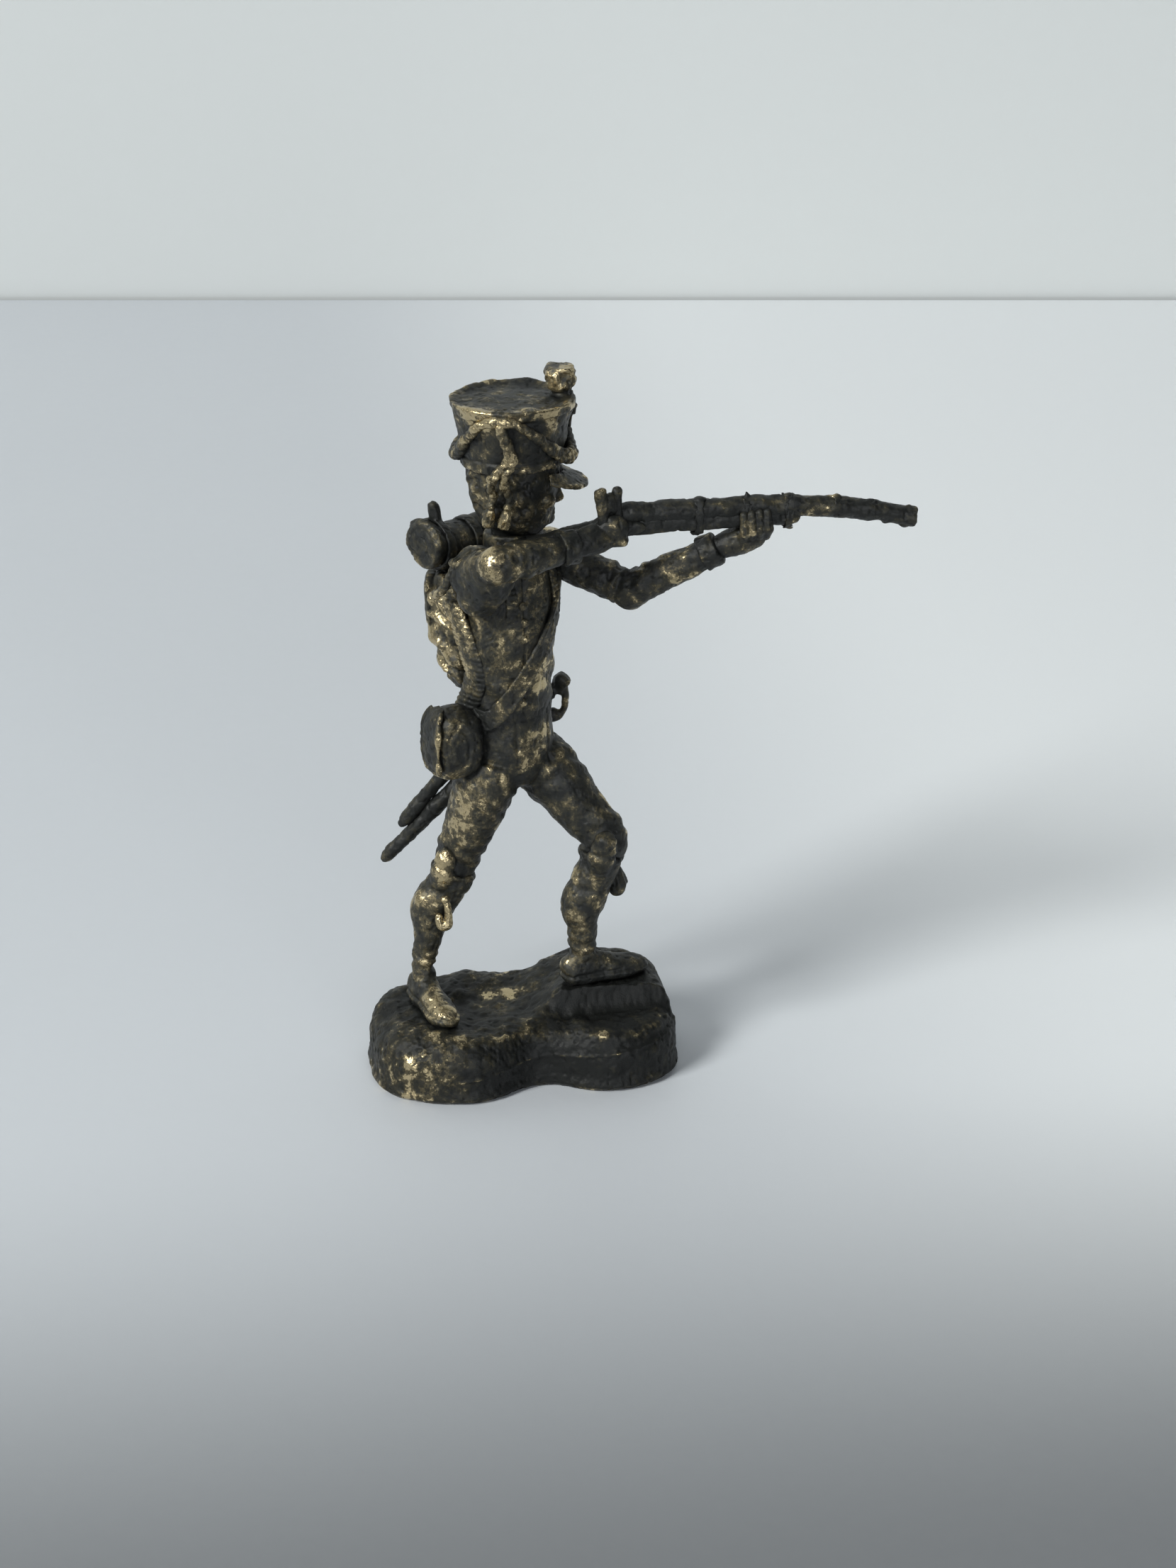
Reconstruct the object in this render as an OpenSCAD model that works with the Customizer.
// Cast infantryman firing a musket, standing on a peanut-shaped base.
// Millimetres, +Z up, the aim along +X, origin at the centre of the underside of the base.

/* [Base] */
// Length of the base along the aim
base_len = 17.8; // [17:0.5:20]
// Depth of the base
base_depth = 11.4; // [10.8:0.2:13]
// Height of the base
base_h = 3.8; // [3.2:0.1:5]
// How far the front edge is drawn in at the middle
front_waist = 2.0; // [1:0.1:2.6]
// How far the rear edge is drawn in at the middle
rear_waist = 0.9; // [0.4:0.1:1.6]
// Width of the rounded edge, seen from above
edge_w = 1.7; // [1.2:0.1:2]
// Height of the rounded edge
edge_h = 2.0; // [1.4:0.1:2.4]
// Rise of the step under the front foot
step_h = 1.3; // [1:0.1:1.6]

/* [Stance] */
// Rear ankle behind the middle of the base, as a share of its length
rear_share = 0.312; // [0.29:0.002:0.33]
// Front ankle ahead of the middle of the base, as a share of its length
lead_share = 0.191; // [0.17:0.002:0.21]
// Hip joints above the base
hip_h = 14.9; // [14:0.1:16]
// Rear knee above the base
rear_knee_h = 9.3; // [8.8:0.1:10]
// Front knee above the base
lead_knee_h = 10.1; // [9.6:0.1:10.8]
// Turn of the body from the aim toward the viewer, degrees
body_turn = 57; // [50:1:64]

/* [Legs] */
// Length of a boot sole
sole_len = 5.2; // [4.6:0.1:5.6]
// Width of a boot sole
sole_w = 1.8; // [1.5:0.1:2]
// Height of a boot above the ankle, along the shin
boot_h = 6.0; // [5.4:0.1:6.4]
// Thickness of an ankle
ankle_d = 1.5; // [1.3:0.05:1.8]
// Thickness of a calf
calf_d = 2.5; // [2.2:0.05:2.8]
// Thickness of a knee
knee_d = 2.5; // [2.2:0.05:2.8]
// Thickness of a thigh
thigh_d = 3.3; // [3:0.05:3.5]
// Distance between the hip joints
hip_span = 3.0; // [2.8:0.1:3.2]

/* [Trunk] */
// Width of the hips
hip_w = 5.0; // [4.6:0.1:5.2]
// Depth of the hips
hip_d = 3.8; // [3.4:0.1:4]
// Waist seam above the hip joints
waist_rise = 3.5; // [3.2:0.1:4]
// Width of the waist
waist_w = 4.6; // [4.2:0.1:5]
// Depth of the waist
waist_d = 3.6; // [3.2:0.1:3.8]
// Width of the chest
chest_w = 5.3; // [5:0.1:5.6]
// Depth of the chest
chest_d = 4.3; // [4:0.1:4.5]
// Shoulder line above the waist seam
back_len = 8.1; // [7.6:0.1:8.8]
// Distance between the shoulder joints
shoulder_span = 6.2; // [6:0.1:6.5]
// Diameter of the collar
collar_d = 2.9; // [2.7:0.1:3.1]
// Diameter of a coat button
button_d = 0.56; // [0.4:0.02:0.7]
// Number of coat buttons
button_count = 7; // [5:1:9]
// Thickness of the coat tails
tail_t = 0.35; // [0.25:0.05:0.5]

/* [Arms] */
// Thickness of a sleeve at the shoulder
shoulder_d = 2.4; // [2.2:0.05:2.6]
// Thickness of a sleeve at the elbow
elbow_d = 2.3; // [2:0.05:2.5]
// Thickness of a sleeve at the wrist
wrist_d = 1.4; // [1.2:0.05:1.6]
// Diameter of a cuff
cuff_d = 2.0; // [1.9:0.05:2.2]
// Length of a cuff
cuff_len = 0.9; // [0.6:0.05:1.1]
// Thickness of a shoulder strap
epaulette_t = 0.35; // [0.25:0.05:0.5]

/* [Head and cap] */
// Height of the head from the collar to the cap
head_h = 4.1; // [3.8:0.1:4.6]
// Length of the head, front to back
head_len = 5.3; // [5:0.1:5.5]
// Width of the head
head_w = 4.0; // [3.7:0.1:4.2]
// Height of the cap
shako_h = 3.6; // [3.3:0.1:4.2]
// Radius of the cap at its lower edge
shako_low_r = 2.85; // [2.8:0.05:3]
// Radius of the cap at its crown
shako_top_r = 3.45; // [3.2:0.05:3.7]
// Forward tilt of the cap, degrees
cap_tilt = -1; // [-4:0.5:4]
// Slope of the visor, degrees
visor_slope = 35; // [28:1:40]
// Thickness of the visor
visor_t = 0.35; // [0.25:0.05:0.5]
// Diameter of the pompon
pompon_d = 1.9; // [1.6:0.02:2.1]
// Thickness of the cap cord
cord_d = 0.6; // [0.4:0.05:0.7]

/* [Musket] */
// Diameter of the barrel
barrel_d = 1.3; // [1.1:0.05:1.4]
// Straight length of the barrel, from the breech
barrel_straight = 7.8; // [7:0.1:8.5]
// Length of the drooping front of the barrel
barrel_droop_len = 8.9; // [8:0.1:9.5]
// Radius of the droop
droop_r = 36; // [30:1:60]
// Width of the stock
stock_w = 1.1; // [1:0.05:1.2]
// Depth of the fore-end under the barrel axis
fore_end_h = 1.1; // [0.95:0.05:1.2]
// Length of the fore-end ahead of the breech
fore_end_len = 10.1; // [9.6:0.1:10.6]
// Length of the butt behind the breech
butt_len = 6.5; // [6:0.1:6.7]
// Height of the barrel axis above the shoulder line
gun_rise = 3.05; // [2.9:0.05:3.2]

/* [Equipment] */
// Thickness of a leather belt
belt_t = 0.22; // [0.15:0.01:0.3]
// Width of the cross belt
belt_w = 1.0; // [0.8:0.05:1.2]
// Width of the knapsack
pack_w = 5.0; // [4.6:0.1:5.6]
// Thickness of the knapsack
pack_t = 2.2; // [1.8:0.1:2.5]
// Height of the knapsack
pack_h = 5.0; // [4.4:0.1:5.4]
// Diameter of the rolled coat
roll_d = 3.0; // [2.6:0.1:3.1]
// Length of the rolled coat
roll_len = 6.8; // [6.2:0.1:7.4]
// Width of the cartridge box
box_w = 3.0; // [2.6:0.1:3.3]
// Thickness of the cartridge box
box_t = 2.1; // [1.8:0.1:2.4]
// Height of the cartridge box
box_h = 4.0; // [3.6:0.1:4.3]
// Length of the sabre scabbard
sabre_len = 13.4; // [12:0.1:14.2]
// Diameter of the sabre scabbard
sabre_d = 1.0; // [0.8:0.05:1.1]
// Length of the bayonet scabbard
bayonet_len = 9.2; // [8.6:0.1:10]
// Diameter of the bayonet scabbard
bayonet_d = 0.85; // [0.7:0.05:0.95]

/* [Assembly] */
// Clearance between pieces
fit = 0.05; // [0.03:0.01:0.08]
// Diameter of the locating pegs
peg_d = 0.9; // [0.7:0.05:1]
// Length of the locating pegs past the seam
peg_len = 1.2; // [0.8:0.1:1.4]

/* [Hidden] */
$fn = 48;

patina = "#3b3a35";
rubbed = "#8a6f3c";
up = [0, 0, 1];
ahead = [1, 0, 0];
facing = [cos(body_turn), -sin(body_turn), 0];
left = [sin(body_turn), cos(body_turn), 0];

// Skeleton: heights first, then the points that the pieces hang on
hip_z = base_h + hip_h;
waist_z = hip_z + waist_rise;
shoulder_z = waist_z + back_len;
collar_rise = 1.7;
collar_z = shoulder_z + collar_rise;
cap_z = collar_z + head_h;
trunk_at = [-0.35, 0.35, 0];
head_at = [-0.18, 0.3, 0];
function trunk(l, f, z) = trunk_at + left * l + facing * f + up * z;

rear_toe = [cos(-75), sin(-75), 0];
lead_toe = [cos(14), sin(14), 0];
ankle_h = 2.4;
instep_drop = 0.5;
knee_in = 2.15;
knee_out = 1.3;
rear_ankle = [-rear_share * base_len, 0.95, base_h + ankle_h];
lead_ankle = [lead_share * base_len, -0.45, base_h + step_h + ankle_h - instep_drop];
rear_knee = [rear_ankle[0] + knee_in, 0.8, base_h + rear_knee_h];
lead_knee = [lead_ankle[0] + knee_out, -0.5, base_h + lead_knee_h];
rear_hip = trunk(-hip_span / 2, 0, hip_z);
lead_hip = trunk(hip_span / 2, 0, hip_z);

right_shoulder = trunk(-shoulder_span / 2, 0, shoulder_z - 0.1);
left_shoulder = trunk(shoulder_span / 2, 0, shoulder_z - 0.3);
right_elbow = right_shoulder + [1.1, -2.9, 1.5];
gun_at = [5.2, -1.6, shoulder_z + gun_rise];
right_wrist = gun_at + [-2.5, -1.35, -1.2];
left_elbow = gun_at + [1.0, 1.7, -5.05];
left_wrist = gun_at + [5.7, 0.5, -2.4];

// Small helpers
function unit(v) = v / norm(v);
function power(v, e) = sign(v) * pow(abs(v), e);
module along(p, d) {
    translate(p) rotate([0, acos(unit(d)[2]), atan2(d[1], d[0])]) children();
}
module peg(p, d, extra = 0) {
    along(p - unit(d) * peg_len, d) cylinder(d = peg_d + 2 * extra, h = 2 * peg_len + extra);
}

// A station is a centre and two half sizes; stations are joined by a smooth curve
function station(p, a, b) = [p[0], p[1], p[2], a, b];
function centre(s) = [s[0], s[1], s[2]];
function curve(p, i, t) = let (n = len(p) - 1, a = p[max(i - 1, 0)], b = p[i], c = p[i + 1],
    d = p[min(i + 2, n)]) 0.5 * (2 * b + (c - a) * t + (2 * a - 5 * b + 4 * c - d) * t * t
    + (3 * b - a - 3 * c + d) * t * t * t);
function refine(p, steps) = [for (i = [0 : len(p) - 2]) for (k = [0 : steps - 1])
    curve(p, i, k / steps), p[len(p) - 1]];
function ring(c, t, side, a, b, sides, e = 1) = let (u = unit(side - t * (side * t)), v = cross(t, u))
    [for (k = [0 : sides - 1]) let (w = 360 * k / sides)
        c + u * a * power(cos(w), e) + v * b * power(sin(w), e)];
function rings(s, side, sides, g, e) = let (n = len(s) - 1) [for (i = [0 : n])
    let (t = unit(centre(s[min(i + 1, n)]) - centre(s[max(i - 1, 0)])),
        push = i == 0 ? -g : i == n ? g : 0)
    ring(centre(s[i]) + t * push, t, side, s[i][3] + g, s[i][4] + g, sides, e)];

// Triangles between rings, with flat ends or closed on itself
module skin(r, closed = false) {
    m = len(r);
    n = len(r[0]);
    spans = closed ? m : m - 1;
    walls = [for (i = [0 : spans - 1]) for (k = [0 : n - 1])
        let (a = i * n + k, b = i * n + (k + 1) % n,
            c = ((i + 1) % m) * n + k, d = ((i + 1) % m) * n + (k + 1) % n)
        each [[a, c, d], [a, d, b]]];
    ends = closed ? [] : [[for (k = [0 : n - 1]) k], [for (k = [n - 1 : -1 : 0]) (m - 1) * n + k]];
    polyhedron(points = [for (q = r) each q], faces = concat(walls, ends));
}
module loft(s, side, steps = 3, sides = 16, g = 0, e = 1) {
    skin(rings(refine(s, steps), side, sides, g, e));
}

// A limb between two points with domed ends and a swell between them
module limb(p, q, rp, rm, rq, g = 0, sides = 14) {
    t = unit(q - p);
    side = abs(t[2]) > 0.9 ? ahead : up;
    a = rp + g;
    b = rm + g;
    c = rq + g;
    loft([station(p - t * a * 0.96, a * 0.28, a * 0.28), station(p - t * a * 0.6, a * 0.8, a * 0.8),
        station(p, a, a), station((p + q) / 2, b, b), station(q, c, c),
        station(q + t * c * 0.6, c * 0.8, c * 0.8), station(q + t * c * 0.96, c * 0.28, c * 0.28)],
        side, 1, sides);
}
// A plate with round corners: size is across, thick (along y) and high
module plate(size, r) {
    translate([0, size[1] / 2, 0]) rotate([90, 0, 0]) linear_extrude(size[1]) {
        square([size[0] - 2 * r, size[2]], center = true);
        square([size[0], size[2] - 2 * r], center = true);
        for (x = [-1, 1], z = [-1, 1]) translate([x * (size[0] / 2 - r), z * (size[2] / 2 - r)]) circle(r);
    }
}
// Children in the body's own directions: x to its left, y to its back
module body_frame(p) {
    translate(p) rotate(90 - body_turn) children();
}

// Base: a rounded peanut outline, drawn in at the middle
waist_at = 0.5;
waist_span = 2.6;
function outline(w, inset) = let (x = (base_len / 2 - inset) * power(cos(w), 0.85),
    waist = (sin(w) < 0 ? front_waist : rear_waist) * exp(-pow((x - waist_at) / waist_span, 2)))
    [x, (base_depth / 2 - inset - waist) * power(sin(w), 0.6)];
function base_ring(z, inset) = [for (k = [0 : 47]) let (p = outline(7.5 * k, inset)) [p[0], p[1], z]];
foot_in = 0.3;
// The step fills the rear of the front lobe: a ramp leads up to it, and a steep wall faces the viewer
ramp_from = 0.2;
ramp_len = 2.0;
wall_from = -2.2;
wall_len = 1.0;
function smooth(t) = let (c = min(max(t, 0), 1)) c * c * (3 - 2 * c);
function step_rise(x, y) = step_h * smooth((x - ramp_from) / ramp_len) * smooth((y - wall_from) / wall_len);
function edge_ring(a) = [for (p = base_ring(0, edge_w * (1 - cos(a))))
    [p[0], p[1], base_h - edge_h + (edge_h + step_rise(p[0], p[1])) * sin(a)]];
function top_ring(share) = [for (p = base_ring(0, edge_w))
    [p[0] * share, p[1] * share, base_h + step_rise(p[0] * share, p[1] * share)]];
module base() {
    color(rubbed) difference() {
        skin(concat([base_ring(0, foot_in)], [base_ring(foot_in, 0)],
            [for (a = [0 : 18 : 72]) edge_ring(a)], [for (share = [1 : -0.1 : 0.1]) top_ring(share)]));
        boot_pegs(fit);
    }
}
module boot_pegs(extra) {
    peg([rear_ankle[0], rear_ankle[1], base_h], -up, extra);
    peg([lead_ankle[0], lead_ankle[1], base_h + step_h], -up, extra);
}

// Boots: a foot with a flat sole and a shaft that swells at the calf
calf_back = 0.55;
heel_len = 1.2;
function boot_top(ankle, knee) = ankle + unit(knee - ankle) * boot_h;
function calf_share(toe) = toe[0] > 0.5 ? 0.5 : 0.62;
function behind(toe) = toe[0] > 0.5 ? -ahead : [-0.9, 0.35, 0];
module shaft_form(ankle, knee, toe, g = 0) {
    axis = unit(knee - ankle);
    top = boot_top(ankle, knee);
    mid = ankle + axis * boot_h * calf_share(toe) + behind(toe) * calf_back;
    low = ankle + axis * boot_h * calf_share(toe) / 2 + behind(toe) * calf_back * 0.45;
    slim = (ankle_d + calf_d) / 4 - 0.08;
    loft([station(ankle - up * 1.2, ankle_d / 2, ankle_d / 2),
        station(ankle, ankle_d / 2, ankle_d / 2), station(low, slim, slim),
        station(mid, calf_d / 2, calf_d / 2),
        station(top - axis * 0.8, calf_d / 2 - 0.05, calf_d / 2 - 0.05),
        station(top + axis * 0.2, calf_d / 2 + 0.12, calf_d / 2 + 0.12)], toe, 3, 16, g);
}
module foot_form(ankle, toe, sole_z, g = 0) {
    start = [ankle[0], ankle[1], sole_z + 0.35] - toe * heel_len;
    reach = sole_len - heel_len;
    half = sole_w / 2;
    intersection() {
        loft([station(start, half * 0.5, 0.7), station(start + toe * 0.35, half * 0.85, 1.2),
            station(start + toe * heel_len, half * 0.85, 1.5),
            station(start + toe * (heel_len + reach * 0.5), half, 0.95),
            station(start + toe * (heel_len + reach * 0.85), half * 0.9, 0.6),
            station(start + toe * sole_len, half * 0.4, 0.3)], cross(up, toe), 2, 14, g);
        translate([ankle[0], ankle[1], sole_z + 4]) cube([16, 16, 8], center = true);
    }
}
// The top of a boot rises in a lobe at its outer side
lobe_d = 1.4;
lobe_rise = 1.3;
module lobe_form(ankle, knee, out, g = 0) {
    axis = unit(knee - ankle);
    root = boot_top(ankle, knee) - axis * lobe_d / 2 + out * (calf_d / 2 - 0.3);
    crest = boot_top(ankle, knee) + axis * lobe_rise + out * (calf_d / 2 + 0.15);
    limb(root, crest, lobe_d / 2 - 0.1, lobe_d / 2, lobe_d / 2, g);
}
module boot(ankle, knee, hip, toe, out, sole_z) {
    color(patina) difference() {
        union() {
            difference() {
                shaft_form(ankle, knee, toe);
                along(boot_top(ankle, knee), knee - ankle) cylinder(d = 2 * calf_d, h = calf_d);
            }
            difference() {
                lobe_form(ankle, knee, out);
                leg_form(ankle, knee, hip, fit);
            }
            foot_form(ankle, toe, sole_z);
            peg([ankle[0], ankle[1], sole_z], -up);
        }
        peg(boot_top(ankle, knee), ankle - knee, fit);
    }
}
rear_out = [cos(-135), sin(-135), 0];
lead_out = [cos(-100), sin(-100), 0];
module right_boot() { boot(rear_ankle, rear_knee, rear_hip, rear_toe, rear_out, base_h); }
module left_boot() { boot(lead_ankle, lead_knee, lead_hip, lead_toe, lead_out, base_h + step_h); }

// Tassels at the front of the boots
tassel_d = 0.9;
tassel_len = 0.9;
module boot_tassel(ankle, knee, toe, drop, sway) {
    top = boot_top(ankle, knee) + toe * (calf_d / 2 + 0.1) + behind(toe) * calf_back * sway
        - unit(knee - ankle) * drop;
    color(rubbed) difference() {
        limb(top, top - up * tassel_len, tassel_d * 0.32, tassel_d * 0.4, tassel_d / 2, 0, 10);
        shaft_form(ankle, knee, toe, fit);
    }
}
module right_boot_tassel() { boot_tassel(rear_ankle, rear_knee, rear_toe, 1.9, 0.9); }
module left_boot_tassel() { boot_tassel(lead_ankle, lead_knee, lead_toe, 1.4, 0.45); }

// Breeches: each leg runs from the boot top to the hip, the seat joins them
module leg_form(ankle, knee, hip, g = 0) {
    axis = unit(knee - ankle);
    top = boot_top(ankle, knee) + axis * fit;
    loft([station(top, knee_d / 2 - 0.1, knee_d / 2 - 0.1), station(knee, knee_d / 2, knee_d / 2),
        station((knee + hip) / 2, thigh_d / 2, thigh_d / 2),
        station(hip, thigh_d / 2 + 0.1, thigh_d / 2 + 0.1)], left, 4, 16, g);
}
module leg(ankle, knee, hip) {
    color(patina) difference() {
        union() {
            difference() {
                leg_form(ankle, knee, hip);
                hips_form(fit);
                along(boot_top(ankle, knee) + unit(knee - ankle) * fit, ankle - knee)
                    cylinder(d = 2 * calf_d, h = calf_d);
            }
            peg(boot_top(ankle, knee), ankle - knee);
            hip_peg(knee, hip);
        }
    }
}
module hip_peg(knee, hip, extra = 0) {
    peg(hip + unit(knee - hip) * hip_seat, hip - knee, extra);
}
hip_seat = 1.6;
module right_leg() { leg(rear_ankle, rear_knee, rear_hip); }
module left_leg() {
    difference() {
        leg(lead_ankle, lead_knee, lead_hip);
        leg_form(rear_ankle, rear_knee, rear_hip, fit);
    }
}
crotch_drop = 1.3;
module hips_form(g = 0) {
    loft([station(trunk(0, 0, hip_z - crotch_drop), hip_w / 2 - 0.9, hip_d / 2 - 0.6),
        station(trunk(0, 0, hip_z - crotch_drop + 0.5), hip_w / 2 - 0.35, hip_d / 2 - 0.2),
        station(trunk(0, 0, hip_z + 0.6), hip_w / 2, hip_d / 2),
        station(trunk(0, 0, waist_z - fit), waist_w / 2, waist_d / 2)], left, 3, 20, g);
}
module hips() {
    color(patina) difference() {
        union() {
            hips_form();
            peg(trunk(0, 0, waist_z), up);
        }
        hip_peg(rear_knee, rear_hip, fit);
        hip_peg(lead_knee, lead_hip, fit);
        box_peg(fit);
        frog_peg(fit);
    }
}

// Coat: the body with its collar, the tails, and the buttons
module coat_form(g = 0) {
    loft([station(trunk(0, 0, waist_z), waist_w / 2, waist_d / 2),
        station(trunk(0, 0, waist_z + 2), waist_w / 2 + 0.1, waist_d / 2 + 0.15),
        station(trunk(0, 0, waist_z + back_len * 0.6), chest_w / 2, chest_d / 2),
        station(trunk(0, 0, shoulder_z - 0.6), chest_w / 2, chest_d / 2 - 0.3),
        station(trunk(0, 0, shoulder_z + 0.5), chest_w / 2 - 0.6, chest_d / 2 - 0.6),
        station(trunk(0.1, 0, shoulder_z + 0.9), collar_d / 2, collar_d / 2),
        station(trunk(0.15, 0, collar_z), collar_d / 2, collar_d / 2)], left, 3, 20, g);
}
neck_at = trunk(0.15, 0, collar_z);
module coat_body() {
    color(patina) difference() {
        coat_form();
        peg(trunk(0, 0, waist_z), up, fit);
        peg(neck_at, -up, fit);
        arm_peg(right_shoulder, left, fit);
        arm_peg(left_shoulder, -left, fit);
        pack_peg(fit);
    }
}
module coat_tails() {
    color(patina) difference() {
        intersection() {
            hips_form(tail_t + fit);
            body_frame(trunk(0, -hip_d / 2 - 0.5, hip_z + waist_rise / 2 - 0.6))
                cube([2 * hip_w, hip_d, waist_rise + 0.8], center = true);
        }
        hips_form(fit);
        leg_form(rear_ankle, rear_knee, rear_hip, fit);
        leg_form(lead_ankle, lead_knee, lead_hip, fit);
        box_peg(fit);
        frog_peg(fit);
    }
}
button_turn = 20;
button_low = 0.5;
button_pitch = 0.95;
belt_lean = 58;
belt_shift = 0.7;
// Height of the cross belt at a distance to the left; it hides the buttons behind it
function belt_z(l) = waist_z + back_len / 2 - belt_shift + tan(belt_lean) * l;
function belt_hides(z) = abs(z - belt_z(-sin(button_turn) * coat_reach(z)))
    < belt_w / 2 / cos(belt_lean) + button_d / 2 + fit;
module coat_buttons() {
    across = facing * cos(button_turn) - left * sin(button_turn);
    color(rubbed) for (k = [0 : button_count - 1]) {
        z = waist_z + button_low + button_pitch * k;
        if (!belt_hides(z)) difference() {
            translate(trunk(0, 0, z) + across * coat_reach(z)) sphere(d = button_d, $fn = 24);
            coat_form(fit);
        }
    }
}
// Distance from the trunk axis to the coat along the button line
function coat_reach(z) = let (h = (z - waist_z) / (back_len * 0.6),
    a = waist_w / 2 + (chest_w - waist_w) / 2 * h, b = waist_d / 2 + 0.1 + (chest_d - waist_d) / 2 * h)
    1 / sqrt(pow(sin(button_turn) / a, 2) + pow(cos(button_turn) / b, 2));

// Arms: sleeves with domed shoulders, cuffs and gripping hands
module arm_form(shoulder, elbow, wrist, g = 0) {
    limb(shoulder, elbow, shoulder_d / 2, (shoulder_d + elbow_d) / 4, elbow_d / 2, g);
    limb(elbow, wrist, elbow_d / 2, (elbow_d + wrist_d) / 4 + 0.1, wrist_d / 2, g);
}
module arm_peg(shoulder, inward, extra = 0) {
    peg(shoulder + inward * 0.6, inward, extra);
}
module wrist_peg(elbow, wrist, extra = 0) {
    peg(wrist, elbow - wrist, extra);
}
module arm(shoulder, elbow, wrist, inward) {
    color(patina) difference() {
        union() {
            difference() {
                arm_form(shoulder, elbow, wrist);
                coat_form(fit);
            }
            arm_peg(shoulder, inward);
        }
        wrist_peg(elbow, wrist, fit);
    }
}
module right_arm() {
    difference() {
        arm(right_shoulder, right_elbow, right_wrist, left);
        stock_form(fit);
    }
}
module left_arm() { arm(left_shoulder, left_elbow, left_wrist, -left); }
module right_arm_form(g = 0) { arm_form(right_shoulder, right_elbow, right_wrist, g); }
module left_arm_form(g = 0) { arm_form(left_shoulder, left_elbow, left_wrist, g); }
module cuff(shoulder, elbow, wrist) {
    axis = wrist - elbow;
    color(rubbed) difference() {
        along(wrist - unit(axis) * cuff_len, axis) cylinder(d = cuff_d, h = cuff_len);
        arm_form(shoulder, elbow, wrist, fit);
        stock_form(fit);
    }
}
module right_cuff() { cuff(right_shoulder, right_elbow, right_wrist); }
module left_cuff() { cuff(left_shoulder, left_elbow, left_wrist); }
module epaulette(shoulder) {
    color(rubbed) difference() {
        translate(shoulder) sphere(r = shoulder_d / 2 + epaulette_t);
        translate(shoulder + up * (shoulder_d / 4 - 2)) cube([6, 6, 4], center = true);
        right_arm_form(fit);
        left_arm_form(fit);
        coat_form(2 * belt_t + 2 * fit);
        stock_form(fit);
    }
}
module right_shoulder_strap() { epaulette(right_shoulder); }
module left_shoulder_strap() { epaulette(left_shoulder); }

finger_d = 0.5;
module fingers(at, step, reach) {
    for (k = [0 : 3]) limb(at + step * (k - 1.5), at + step * (k - 1.5) + reach,
        finger_d / 2, finger_d / 2, finger_d / 2, 0, 8);
}
module right_hand() {
    grip = gun_at + [-0.9, -0.55, -1.0];
    color(rubbed) difference() {
        union() {
            limb(right_wrist + [0.5, 0.2, 0], grip, 0.6, 0.75, 0.75);
            fingers(grip + [0.2, -0.4, -0.2], [0.15, 0, -0.38], [0.85, 0.25, 0.1]);
            wrist_peg(right_elbow, right_wrist);
        }
        difference() {
            right_arm_form(fit);
            wrist_peg(right_elbow, right_wrist, fit);
        }
        cuff_zone(right_elbow, right_wrist);
        stock_form(fit);
        barrel_form(fit);
        lock_form(fit);
        cock_form(fit);
    }
}
module left_hand() {
    palm = left_wrist + [1.9, -0.35, 0.75];
    color(rubbed) difference() {
        union() {
            limb(left_wrist + [0.5, 0, 0.2], palm, 0.62, 0.78, 0.7);
            fingers(palm + [-0.25, -0.75, 0.15], [0.42, 0, 0.02], [0, -0.1, 0.75]);
            wrist_peg(left_elbow, left_wrist);
        }
        difference() {
            left_arm_form(fit);
            wrist_peg(left_elbow, left_wrist, fit);
        }
        cuff_zone(left_elbow, left_wrist);
        stock_form(fit);
        barrel_form(fit);
        band_forms(fit);
    }
}
// The cuff's own space, less the peg that passes through it
module cuff_zone(elbow, wrist) {
    axis = wrist - elbow;
    difference() {
        along(wrist - unit(axis) * cuff_len, axis) cylinder(d = cuff_d + 2 * fit, h = cuff_len + fit);
        along(wrist - unit(axis) * 2 * cuff_len, axis) cylinder(d = peg_d + 2 * fit, h = 4 * cuff_len);
    }
}

// Head, bare of detail under the cap
module head_form(g = 0) {
    h = head_len / 2;
    w = head_w / 2;
    neck = [neck_at[0], neck_at[1], 0];
    loft([station(neck + up * (collar_z - 0.2), collar_d / 2 - 0.2, collar_d / 2 - 0.25),
        station(neck + up * (collar_z + 0.3), collar_d / 2 - 0.1, collar_d / 2 - 0.2),
        station(head_at + up * (collar_z + 1.0), h - 0.65, w - 0.35),
        station(head_at + up * (collar_z + head_h * 0.55), h - 0.3, w - 0.1),
        station(head_at + up * (cap_z - 0.3), h, w),
        station(head_at + up * (cap_z + 0.25), h, w)], ahead, 3, 18, g);
}
module head() {
    brow = head_at + [head_len / 2 - 0.45, 0, collar_z + head_h * 0.62];
    color(patina) difference() {
        union() {
            difference() {
                head_form();
                translate(neck_at + up * (fit - collar_d)) cylinder(d = 2 * collar_d, h = collar_d);
            }
            limb(brow, brow + [0.38, 0, -0.75], 0.2, 0.24, 0.28, 0, 10);
            limb(head_at + [head_len / 2 - 1.1, 0, collar_z + 0.95],
                head_at + [head_len / 2 - 0.85, 0, collar_z + 1.0], 0.45, 0.45, 0.45, 0, 10);
            peg(neck_at, -up);
            cap_plug();
        }
        difference() {
            cap_frame() shako_solid(fit);
            cap_plug();
        }
        stock_form(fit);
    }
}

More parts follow.
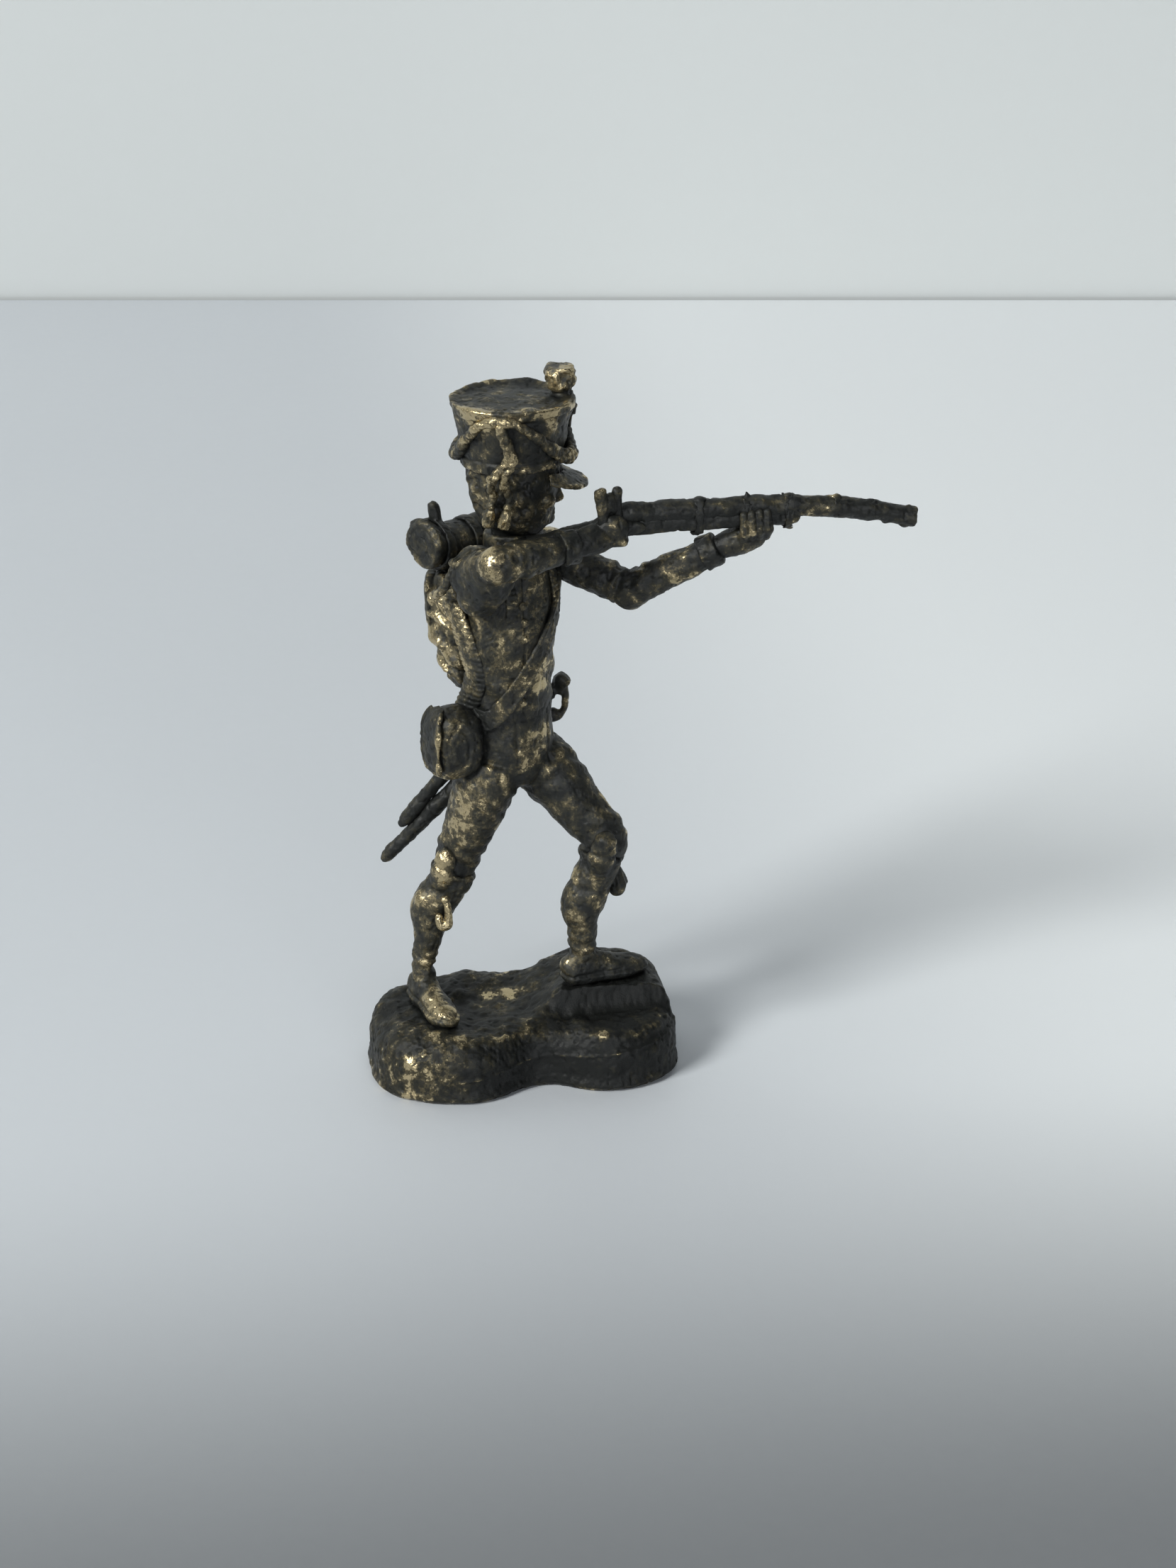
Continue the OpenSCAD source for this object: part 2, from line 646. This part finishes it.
// Cap: a bell-topped body with a recessed crown, visor, pompon, cockade and cords
plug_r = 1.4;
plug_h = 1.4;
rim_w = 0.3;
crown_sink = 0.15;
stem_d = 0.7;
stem_at = shako_top_r - rim_w - 0.5;
function shako_r(z) = shako_low_r + (shako_top_r - shako_low_r) * pow(max(z, 0) / shako_h, 1.6);
module cap_plug() {
    cap_frame() translate([0, 0, -plug_h]) cylinder(r = plug_r, h = 2 * plug_h);
}
module cap_frame() {
    translate(head_at + up * cap_z) rotate([0, cap_tilt, 0]) children();
}
module shako_solid(g = 0) {
    rotate_extrude() polygon(concat([[0, -g]],
        [for (k = [0 : 6]) [shako_r(shako_h * k / 6) + g, k == 0 ? -g : shako_h * k / 6]],
        [[0, shako_h]]));
}
module shako() {
    color(patina) cap_frame() difference() {
        shako_solid();
        translate([0, 0, shako_h - crown_sink]) cylinder(r = shako_top_r - rim_w, h = 1);
        translate([0, 0, -1]) cylinder(r = plug_r + fit, h = plug_h + fit + 1);
        translate([stem_at, 0, shako_h - crown_sink - peg_len]) cylinder(d = stem_d + 2 * fit, h = 3);
    }
}
visor_r = 2.4;
visor_at = [1.55, 0, -0.05];
module visor() {
    color(patina) difference() {
        cap_frame() translate(visor_at) rotate([0, visor_slope, 0]) cylinder(r = visor_r, h = visor_t);
        cap_frame() shako_solid(fit);
        head_form(fit);
    }
}
module pompon() {
    color(rubbed) cap_frame() translate([stem_at, 0, shako_h - crown_sink]) {
        translate([0, 0, crown_sink + pompon_d / 2]) sphere(d = pompon_d);
        translate([0, 0, -peg_len + fit]) cylinder(d = stem_d, h = peg_len + pompon_d / 2);
    }
}
cockade_d = 1.0;
module cockade() {
    z = shako_h - 0.75;
    color(patina) cap_frame() difference() {
        translate([shako_r(z), 0, z]) sphere(d = cockade_d);
        shako_solid(fit);
    }
}
// Festoon: high at the sides, swagging low in front and behind
cord_low = 0.5;
cord_high = 2.75;
function cord_z(w) = cord_low + (cord_high - cord_low) * pow(abs(sin(w)), 3);
function cord_point(w) = let (z = cord_z(w), r = shako_r(z) + cord_d / 2 + fit)
    [r * cos(w), r * sin(w), z];
module shako_cord() {
    color(rubbed) cap_frame() difference() {
        skin([for (k = [0 : 39]) let (w = 9 * k, p = cord_point(w),
            t = unit(cord_point(w + 2) - cord_point(w - 2)))
            ring(p, t, [p[0], p[1], 0], cord_d / 2, cord_d / 2, 8)], true);
        shako_solid(fit);
    }
}
strand_d = 0.45;
strand_top = 1.9;
module cord_tassels() {
    color(rubbed) cap_frame() difference() {
        for (k = [-1, 1]) {
            high = [k * 0.3, -shako_r(strand_top) - strand_d / 2 - fit, strand_top];
            edge = [k * 0.38, -shako_r(0) - strand_d / 2 - fit, 0];
            low = [k * 0.45, -shako_low_r + 0.1, -1.9];
            loft([station(high, strand_d / 2, strand_d / 2), station(edge, strand_d / 2, strand_d / 2),
                station(low, strand_d / 2, strand_d / 2)], ahead, 3, 8);
            limb(low, low - up * 0.9, 0.26, 0.3, 0.36, 0, 10);
        }
        shako_solid(fit);
    }
}

// Musket: the stock carries a barrel whose front half droops
module gun_frame() { translate(gun_at) children(); }
stock_outline = [[fore_end_len, 0], [-0.3, 0], [-1.4, -0.35], [-2.6, -0.6], [-butt_len, -1.3],
    [-butt_len, -2.9], [-2.4, -1.7], [-1.2, -1.45], [0, -fore_end_h - 0.15],
    [2, -fore_end_h], [fore_end_len - 0.3, -fore_end_h], [fore_end_len, -fore_end_h + 0.3]];
module stock_form(g = 0) {
    gun_frame() rotate([90, 0, 0]) translate([0, 0, -stock_w / 2 - g])
        linear_extrude(stock_w + 2 * g) polygon([for (p = stock_outline)
            [p[0] + (p[0] > 0.5 * fore_end_len ? g : p[0] < -0.5 * butt_len ? -g : 0),
            p[1] + (p[1] < -0.9 ? -g : g)]]);
}
module barrel_form(g = 0) {
    gun_frame() {
        rotate([0, 90, 0]) cylinder(d = barrel_d + 2 * g, h = barrel_straight);
        droop(barrel_d + 2 * g, 0, barrel_droop_len);
    }
}
// A bent stretch of round bar that follows the droop
module droop(d, start, length) {
    turn = 180 / PI / droop_r;
    translate([barrel_straight, 0, -droop_r]) rotate([-90, 0, 0]) rotate(-90 + start * turn)
        rotate_extrude(angle = length * turn) translate([droop_r, 0]) circle(d = d);
}
stud_at = [2.2, 0, -0.8 * fore_end_h];
stud_d = 0.55;
module musket_stock() {
    color(patina) difference() {
        stock_form();
        barrel_form(fit);
        gun_frame() translate(stud_at) cylinder(d = stud_d + 2 * fit, h = fore_end_h);
        coat_form(2 * belt_t + 2 * fit);
        lock_screw(fit);
    }
}
bore_d = 0.6;
bore_depth = 1.2;
module musket_barrel() {
    end_turn = barrel_droop_len * 180 / PI / droop_r;
    color(patina) difference() {
        union() {
            barrel_form();
            gun_frame() translate(stud_at + up * fit) cylinder(d = stud_d, h = fore_end_h / 2);
        }
        gun_frame() translate([barrel_straight + droop_r * sin(end_turn), 0, -droop_r * (1 - cos(end_turn))])
            rotate([0, 90 + end_turn, 0]) translate([0, 0, -bore_depth])
                cylinder(d = bore_d, h = 2 * bore_depth);
    }
}
// Bands around stock and barrel, and rings on the bare barrel
band_places = [4.4, 7.1, 9.4];
ring_places = [4.3, 6.3];
band_len = 0.45;
band_t = 0.16;
module band_forms(g = 0) {
    gun_frame() for (x = band_places) translate([x - band_len / 2 - g, 0, 0]) rotate([0, 90, 0])
        linear_extrude(band_len + 2 * g) {
            circle(d = barrel_d + 2 * band_t + 2 * fit + 2 * g);
            translate([0, -stock_w / 2 - band_t - fit - g])
                square([fore_end_h + band_t + fit + g, stock_w + 2 * (band_t + fit + g)]);
        }
}
module barrel_bands() {
    color(rubbed) {
        difference() {
            band_forms();
            stock_form(fit);
            barrel_form(fit);
        }
        gun_frame() for (x = ring_places) difference() {
            droop(barrel_d + 2 * band_t + 2 * fit, x, band_len);
            droop(barrel_d + 2 * fit, x - band_len, 3 * band_len);
        }
    }
}
// Lock on the near side: plate with pan and steel, and the cock on its screw
lock_t = 0.25;
cock_t = 0.35;
screw_d = 0.5;
screw_at = [-1.0, 0, -0.75];
module side_plate(out, t) {
    gun_frame() translate([0, -stock_w / 2 - fit - out, 0]) rotate([90, 0, 0]) linear_extrude(t) children();
}
module lock_form(g = 0) {
    side_plate(-g, lock_t + 2 * g) offset(delta = g) {
        polygon([[-1.6, -1.1], [-1.5, -0.45], [0.2, -0.3], [1.3, -0.4], [1.4, -0.9], [0, -1.15]]);
        polygon([[-0.45, -0.5], [-0.5, 0.7], [-0.45, 1.7], [-0.02, 1.75], [0.1, 0.9], [0.3, -0.5]]);
    }
}
module lock_screw(extra = 0) {
    gun_frame() translate(screw_at + [0, stock_w / 4, 0]) rotate([90, 0, 0])
        cylinder(d = screw_d + 2 * extra, h = stock_w * 0.75 + lock_t + cock_t + 3 * fit);
}
module musket_lock() {
    color(patina) difference() {
        lock_form();
        barrel_form(fit);
        lock_screw(fit);
    }
}
module cock_form(g = 0) {
    side_plate(lock_t + fit - g, cock_t + 2 * g) offset(delta = g)
        polygon([[-1.35, -1.0], [-0.65, -1.0], [-0.6, -0.2], [-0.75, 0.6], [-0.75, 1.3], [-0.85, 1.85],
            [-1.4, 1.85], [-1.45, 1.2], [-1.25, 0.3]]);
}
module musket_cock() {
    color(rubbed) {
        cock_form();
        lock_screw();
    }
}

// Knapsack on the back, with its flap and shoulder straps
roll_back = chest_d / 2 + roll_d / 2 + 0.1;
roll_z = shoulder_z + 0.8;
pack_back = chest_d / 2 + 2 * belt_t + pack_t / 2;
pack_mid = roll_z - roll_d / 2 - belt_t - 2 * fit - pack_h / 2;
pack_edge = 0.5;
// Rows from the bottom up: height, shift toward the body, half width and half thickness, as shares
pack_rows = [[-0.82, 0.62, 0.36, 0.22], [-0.5, 0.42, 0.47, 0.5], [-0.2, 0.26, 0.53, 0.68],
    [0.25, 0.2, 0.54, 0.74], [0.46, 0.2, 0.52, 0.7], [0.5, 0.2, 0.48, 0.62]];
module pack_form(g = 0) {
    loft([for (r = pack_rows) station(trunk(0, -pack_back + r[1] * pack_t, pack_mid + r[0] * pack_h),
        r[2] * pack_w, r[3] * pack_t)], left, 2, 24, g, 0.55);
}
module pack_peg(extra = 0) {
    peg(trunk(0, -chest_d / 2 - belt_t, pack_mid), facing, extra);
}
module knapsack() {
    color(patina) {
        difference() {
            pack_form();
            coat_form(2 * belt_t + 2 * fit);
            left_arm_form(fit);
            right_arm_form(fit);
        }
        intersection() {
            pack_peg();
            body_frame(trunk(0, -pack_back, pack_mid))
                translate([0, -peg_len - pack_t / 2, 0]) cube([4, 2 * peg_len + pack_t, 4], center = true);
        }
    }
}
flap_drop = 2.9;
module knapsack_flap() {
    color(patina) difference() {
        pack_form(belt_t + fit);
        pack_form(fit);
        body_frame(trunk(0, -pack_back + pack_t * 0.1, pack_mid - pack_t))
            translate([0, -pack_t, 0]) cube([2 * pack_w, 2 * pack_t, 3 * pack_h], center = true);
        body_frame(trunk(0, -pack_back, pack_mid + pack_h / 2 - flap_drop - pack_h))
            cube([2 * pack_w, 3 * pack_t, 2 * pack_h], center = true);
        body_frame(trunk(0, -pack_back, pack_mid + pack_h / 2 + pack_h - pack_edge))
            cube([2 * pack_w, 3 * pack_t, 2 * pack_h], center = true);
    }
}
strap_w = 0.75;
strap_out = 1.6;
strap_low = 5.4;
strap_back = 1.0;
module knapsack_straps() {
    reach = chest_d + strap_back;
    rise = back_len - strap_low + 1.4;
    color(rubbed) for (k = [-1, 1]) intersection() {
        translate(up * 2 * fit) difference() {
            coat_form(2 * belt_t + fit);
            coat_form(belt_t + fit);
        }
        body_frame(trunk(k * strap_out, reach / 2 - strap_back, waist_z + strap_low + rise / 2))
            cube([strap_w, reach, rise], center = true);
    }
}

// Rolled coat on top of the knapsack, held by straps with a buckle each
function roll_point(l) = trunk(l, -roll_back, roll_z);
roll_edge = 0.4;
module coat_roll() {
    half = roll_d / 2;
    color(patina) along(roll_point(-roll_len / 2), left) rotate_extrude() polygon(concat([[0, 0]],
        [for (a = [0 : 30 : 90]) [half - roll_edge + roll_edge * sin(a), roll_edge * (1 - cos(a))]],
        [for (a = [90 : 30 : 180])
            [half - roll_edge + roll_edge * sin(a), roll_len - roll_edge * (1 + cos(a))]],
        [[0, roll_len]]));
}
roll_strap_w = 0.7;
roll_strap_out = 2.2;
buckle_h = 0.45;
module roll_straps() {
    outer = roll_d / 2 + fit + belt_t;
    color(rubbed) for (l = [-roll_strap_out, 0, roll_strap_out])
        along(roll_point(l) - left * roll_strap_w / 2, left) difference() {
            union() {
                cylinder(r = outer, h = roll_strap_w);
                translate([-outer - buckle_h / 2, 0, roll_strap_w / 2])
                    cube([buckle_h + belt_t, roll_strap_w, roll_strap_w], center = true);
            }
            translate([0, 0, -1]) cylinder(d = roll_d + 2 * fit, h = roll_strap_w + 2);
        }
}

// Cartridge box on the right hip, with its flap, and the belt that carries it
box_turn = 16;
box_out = unit([-cos(box_turn), -sin(box_turn), 0]);
box_z = waist_z - box_h / 2 + 0.2;
box_reach = hip_w / 2 + tail_t + box_t / 2 + fit;
box_at = [trunk_at[0], trunk_at[1], box_z] + box_out * box_reach + [0, -0.1, 0];
box_edge = 0.45;
module box_frame() { translate(box_at) rotate(box_turn) children(); }
module box_form(g = 0) {
    box_frame() rotate(90) plate([box_w + 2 * g, box_t + 2 * g, box_h + 2 * g], box_edge + g);
}
module box_peg(extra = 0) {
    peg(box_at - box_out * (box_t / 2 + 0.1), -box_out, extra);
}
module cartridge_box() {
    color(patina) {
        difference() {
            box_form();
            hips_form(tail_t + 2 * fit);
            leg_form(rear_ankle, rear_knee, rear_hip, fit);
            coat_form(2 * belt_t + 2 * fit);
        }
        box_peg();
    }
}
box_flap_t = 0.3;
box_flap_drop = 3.1;
module cartridge_flap() {
    color(patina) difference() {
        box_form(box_flap_t + fit);
        box_form(fit);
        box_frame() translate([box_t, 0, 0]) cube([2 * box_t, 3 * box_w, 3 * box_h], center = true);
        box_frame() translate([0, 0, box_h / 2 - box_flap_drop - box_h])
            cube([3 * box_t, 3 * box_w, 2 * box_h], center = true);
    }
}
belt_below = 1.0;
module cross_belt() {
    color(patina) difference() {
        coat_form(belt_t);
        coat_form(fit);
        body_frame(trunk(0, 0, belt_z(0))) rotate([0, -belt_lean, 0])
            for (k = [-1, 1]) translate([0, 0, k * (belt_w / 2 + back_len)])
                cube([4 * chest_w, 4 * chest_w, 2 * back_len], center = true);
        body_frame(trunk(0, 0, collar_z)) cube([2 * chest_w, 2 * chest_w, 2 * belt_below], center = true);
        body_frame(trunk(0, 0, waist_z - belt_w))
            cube([2 * chest_w, 2 * chest_w, 2 * belt_w + 2 * fit], center = true);
        right_arm_form(fit);
        left_arm_form(fit);
        stock_form(fit);
        pack_peg(2 * fit);
    }
}

// Sabre and bayonet at the left hip
sabre_lean = 42;
sabre_swing = 162;
sabre_dir = [sin(sabre_lean) * cos(sabre_swing), sin(sabre_lean) * sin(sabre_swing), -cos(sabre_lean)];
sabre_up = [cos(sabre_lean) * cos(sabre_swing), cos(sabre_lean) * sin(sabre_swing), sin(sabre_lean)];
sabre_at = trunk(hip_w / 2 + 0.5, -1.6, hip_z + 1.7);
tip_share = 0.75;
module sabre_form(g = 0) {
    along(sabre_at, sabre_dir)
        cylinder(d1 = sabre_d + 2 * g, d2 = tip_share * sabre_d + 2 * g, h = sabre_len + g);
}
tang_d = 0.4;
module tang(extra = 0) {
    along(sabre_at, sabre_dir) translate([0, 0, -tang_d])
        cylinder(d = tang_d + 2 * extra, h = peg_len + tang_d + extra);
}
module sabre_scabbard() {
    color(patina) difference() {
        union() {
            sabre_form();
            along(sabre_at + sabre_dir * (sabre_len - 1.1), sabre_dir) cylinder(d = sabre_d, h = 0.7);
        }
        tang(fit);
    }
}
guard_d = 1.5;
guard_t = 0.25;
grip_d = 0.7;
grip_len = 2.2;
bow_d = 0.35;
bow_reach = 1.1;
bow_out = -sabre_up;
function bow_point(a) = sabre_at - sabre_dir * (guard_t / 2 + grip_len * (1 - cos(a)) / 2)
    + bow_out * bow_reach * (a == 180 ? 0 : 0.35 + 0.65 * sin(a));
module sabre_hilt() {
    color(rubbed) {
        along(sabre_at - sabre_dir * (guard_t + fit), sabre_dir) cylinder(d = guard_d, h = guard_t);
        along(sabre_at - sabre_dir * (grip_len + guard_t), sabre_dir) cylinder(d = grip_d, h = grip_len);
        translate(sabre_at - sabre_dir * (grip_len + guard_t)) rotate(body_turn) sphere(d = grip_d + 0.35);
        loft([for (a = [0 : 30 : 180]) station(bow_point(a), bow_d / 2, bow_d / 2)],
            cross(sabre_dir, sabre_up), 2, 8);
        tang();
    }
}
bayonet_at = sabre_at + sabre_dir * 1.5 + sabre_up * (sabre_d / 2 + bayonet_d / 2 + fit);
bayonet_dir = unit(sabre_dir * bayonet_len - sabre_up * (1 - tip_share) * (sabre_d + bayonet_d) / 2);
module bayonet_form(g = 0) {
    along(bayonet_at, bayonet_dir)
        cylinder(d1 = bayonet_d + 2 * g, d2 = tip_share * bayonet_d + 2 * g, h = bayonet_len + g);
}
module bayonet_scabbard() {
    color(patina) {
        bayonet_form();
        translate(bayonet_at + bayonet_dir * bayonet_len) sphere(d = tip_share * bayonet_d);
    }
}
// Leather frog that holds both scabbards to the hip
frog_w = 1.5;
frog_at = sabre_at + sabre_dir * 1.6;
module frog_peg(extra = 0) {
    inward = trunk(0, -0.4, frog_at[2]) - frog_at;
    peg(frog_at + unit(inward) * (norm(inward) - hip_w / 2 + 0.35), inward, extra);
}
module sword_frog() {
    inward = trunk(0, -0.4, frog_at[2]) - frog_at;
    color(patina) difference() {
        union() {
            difference() {
                along(frog_at - unit(inward) * (sabre_d / 2 + 0.2), inward)
                    translate([0, 0, 1]) cube([frog_w, frog_w, 2.2], center = true);
                hips_form(tail_t + 2 * fit);
                leg_form(lead_ankle, lead_knee, lead_hip, fit);
            }
            intersection() {
                frog_peg();
                hips_form(tail_t + 4 * fit);
            }
        }
        sabre_form(fit);
        bayonet_form(fit);
    }
}

base();
right_boot();
left_boot();
right_boot_tassel();
left_boot_tassel();
right_leg();
left_leg();
hips();
coat_body();
coat_tails();
coat_buttons();
right_shoulder_strap();
left_shoulder_strap();
right_arm();
left_arm();
right_cuff();
left_cuff();
right_hand();
left_hand();
head();
shako();
visor();
pompon();
cockade();
shako_cord();
cord_tassels();
musket_stock();
musket_barrel();
barrel_bands();
musket_lock();
musket_cock();
knapsack();
knapsack_flap();
knapsack_straps();
coat_roll();
roll_straps();
cartridge_box();
cartridge_flap();
cross_belt();
sabre_hilt();
sabre_scabbard();
bayonet_scabbard();
sword_frog();
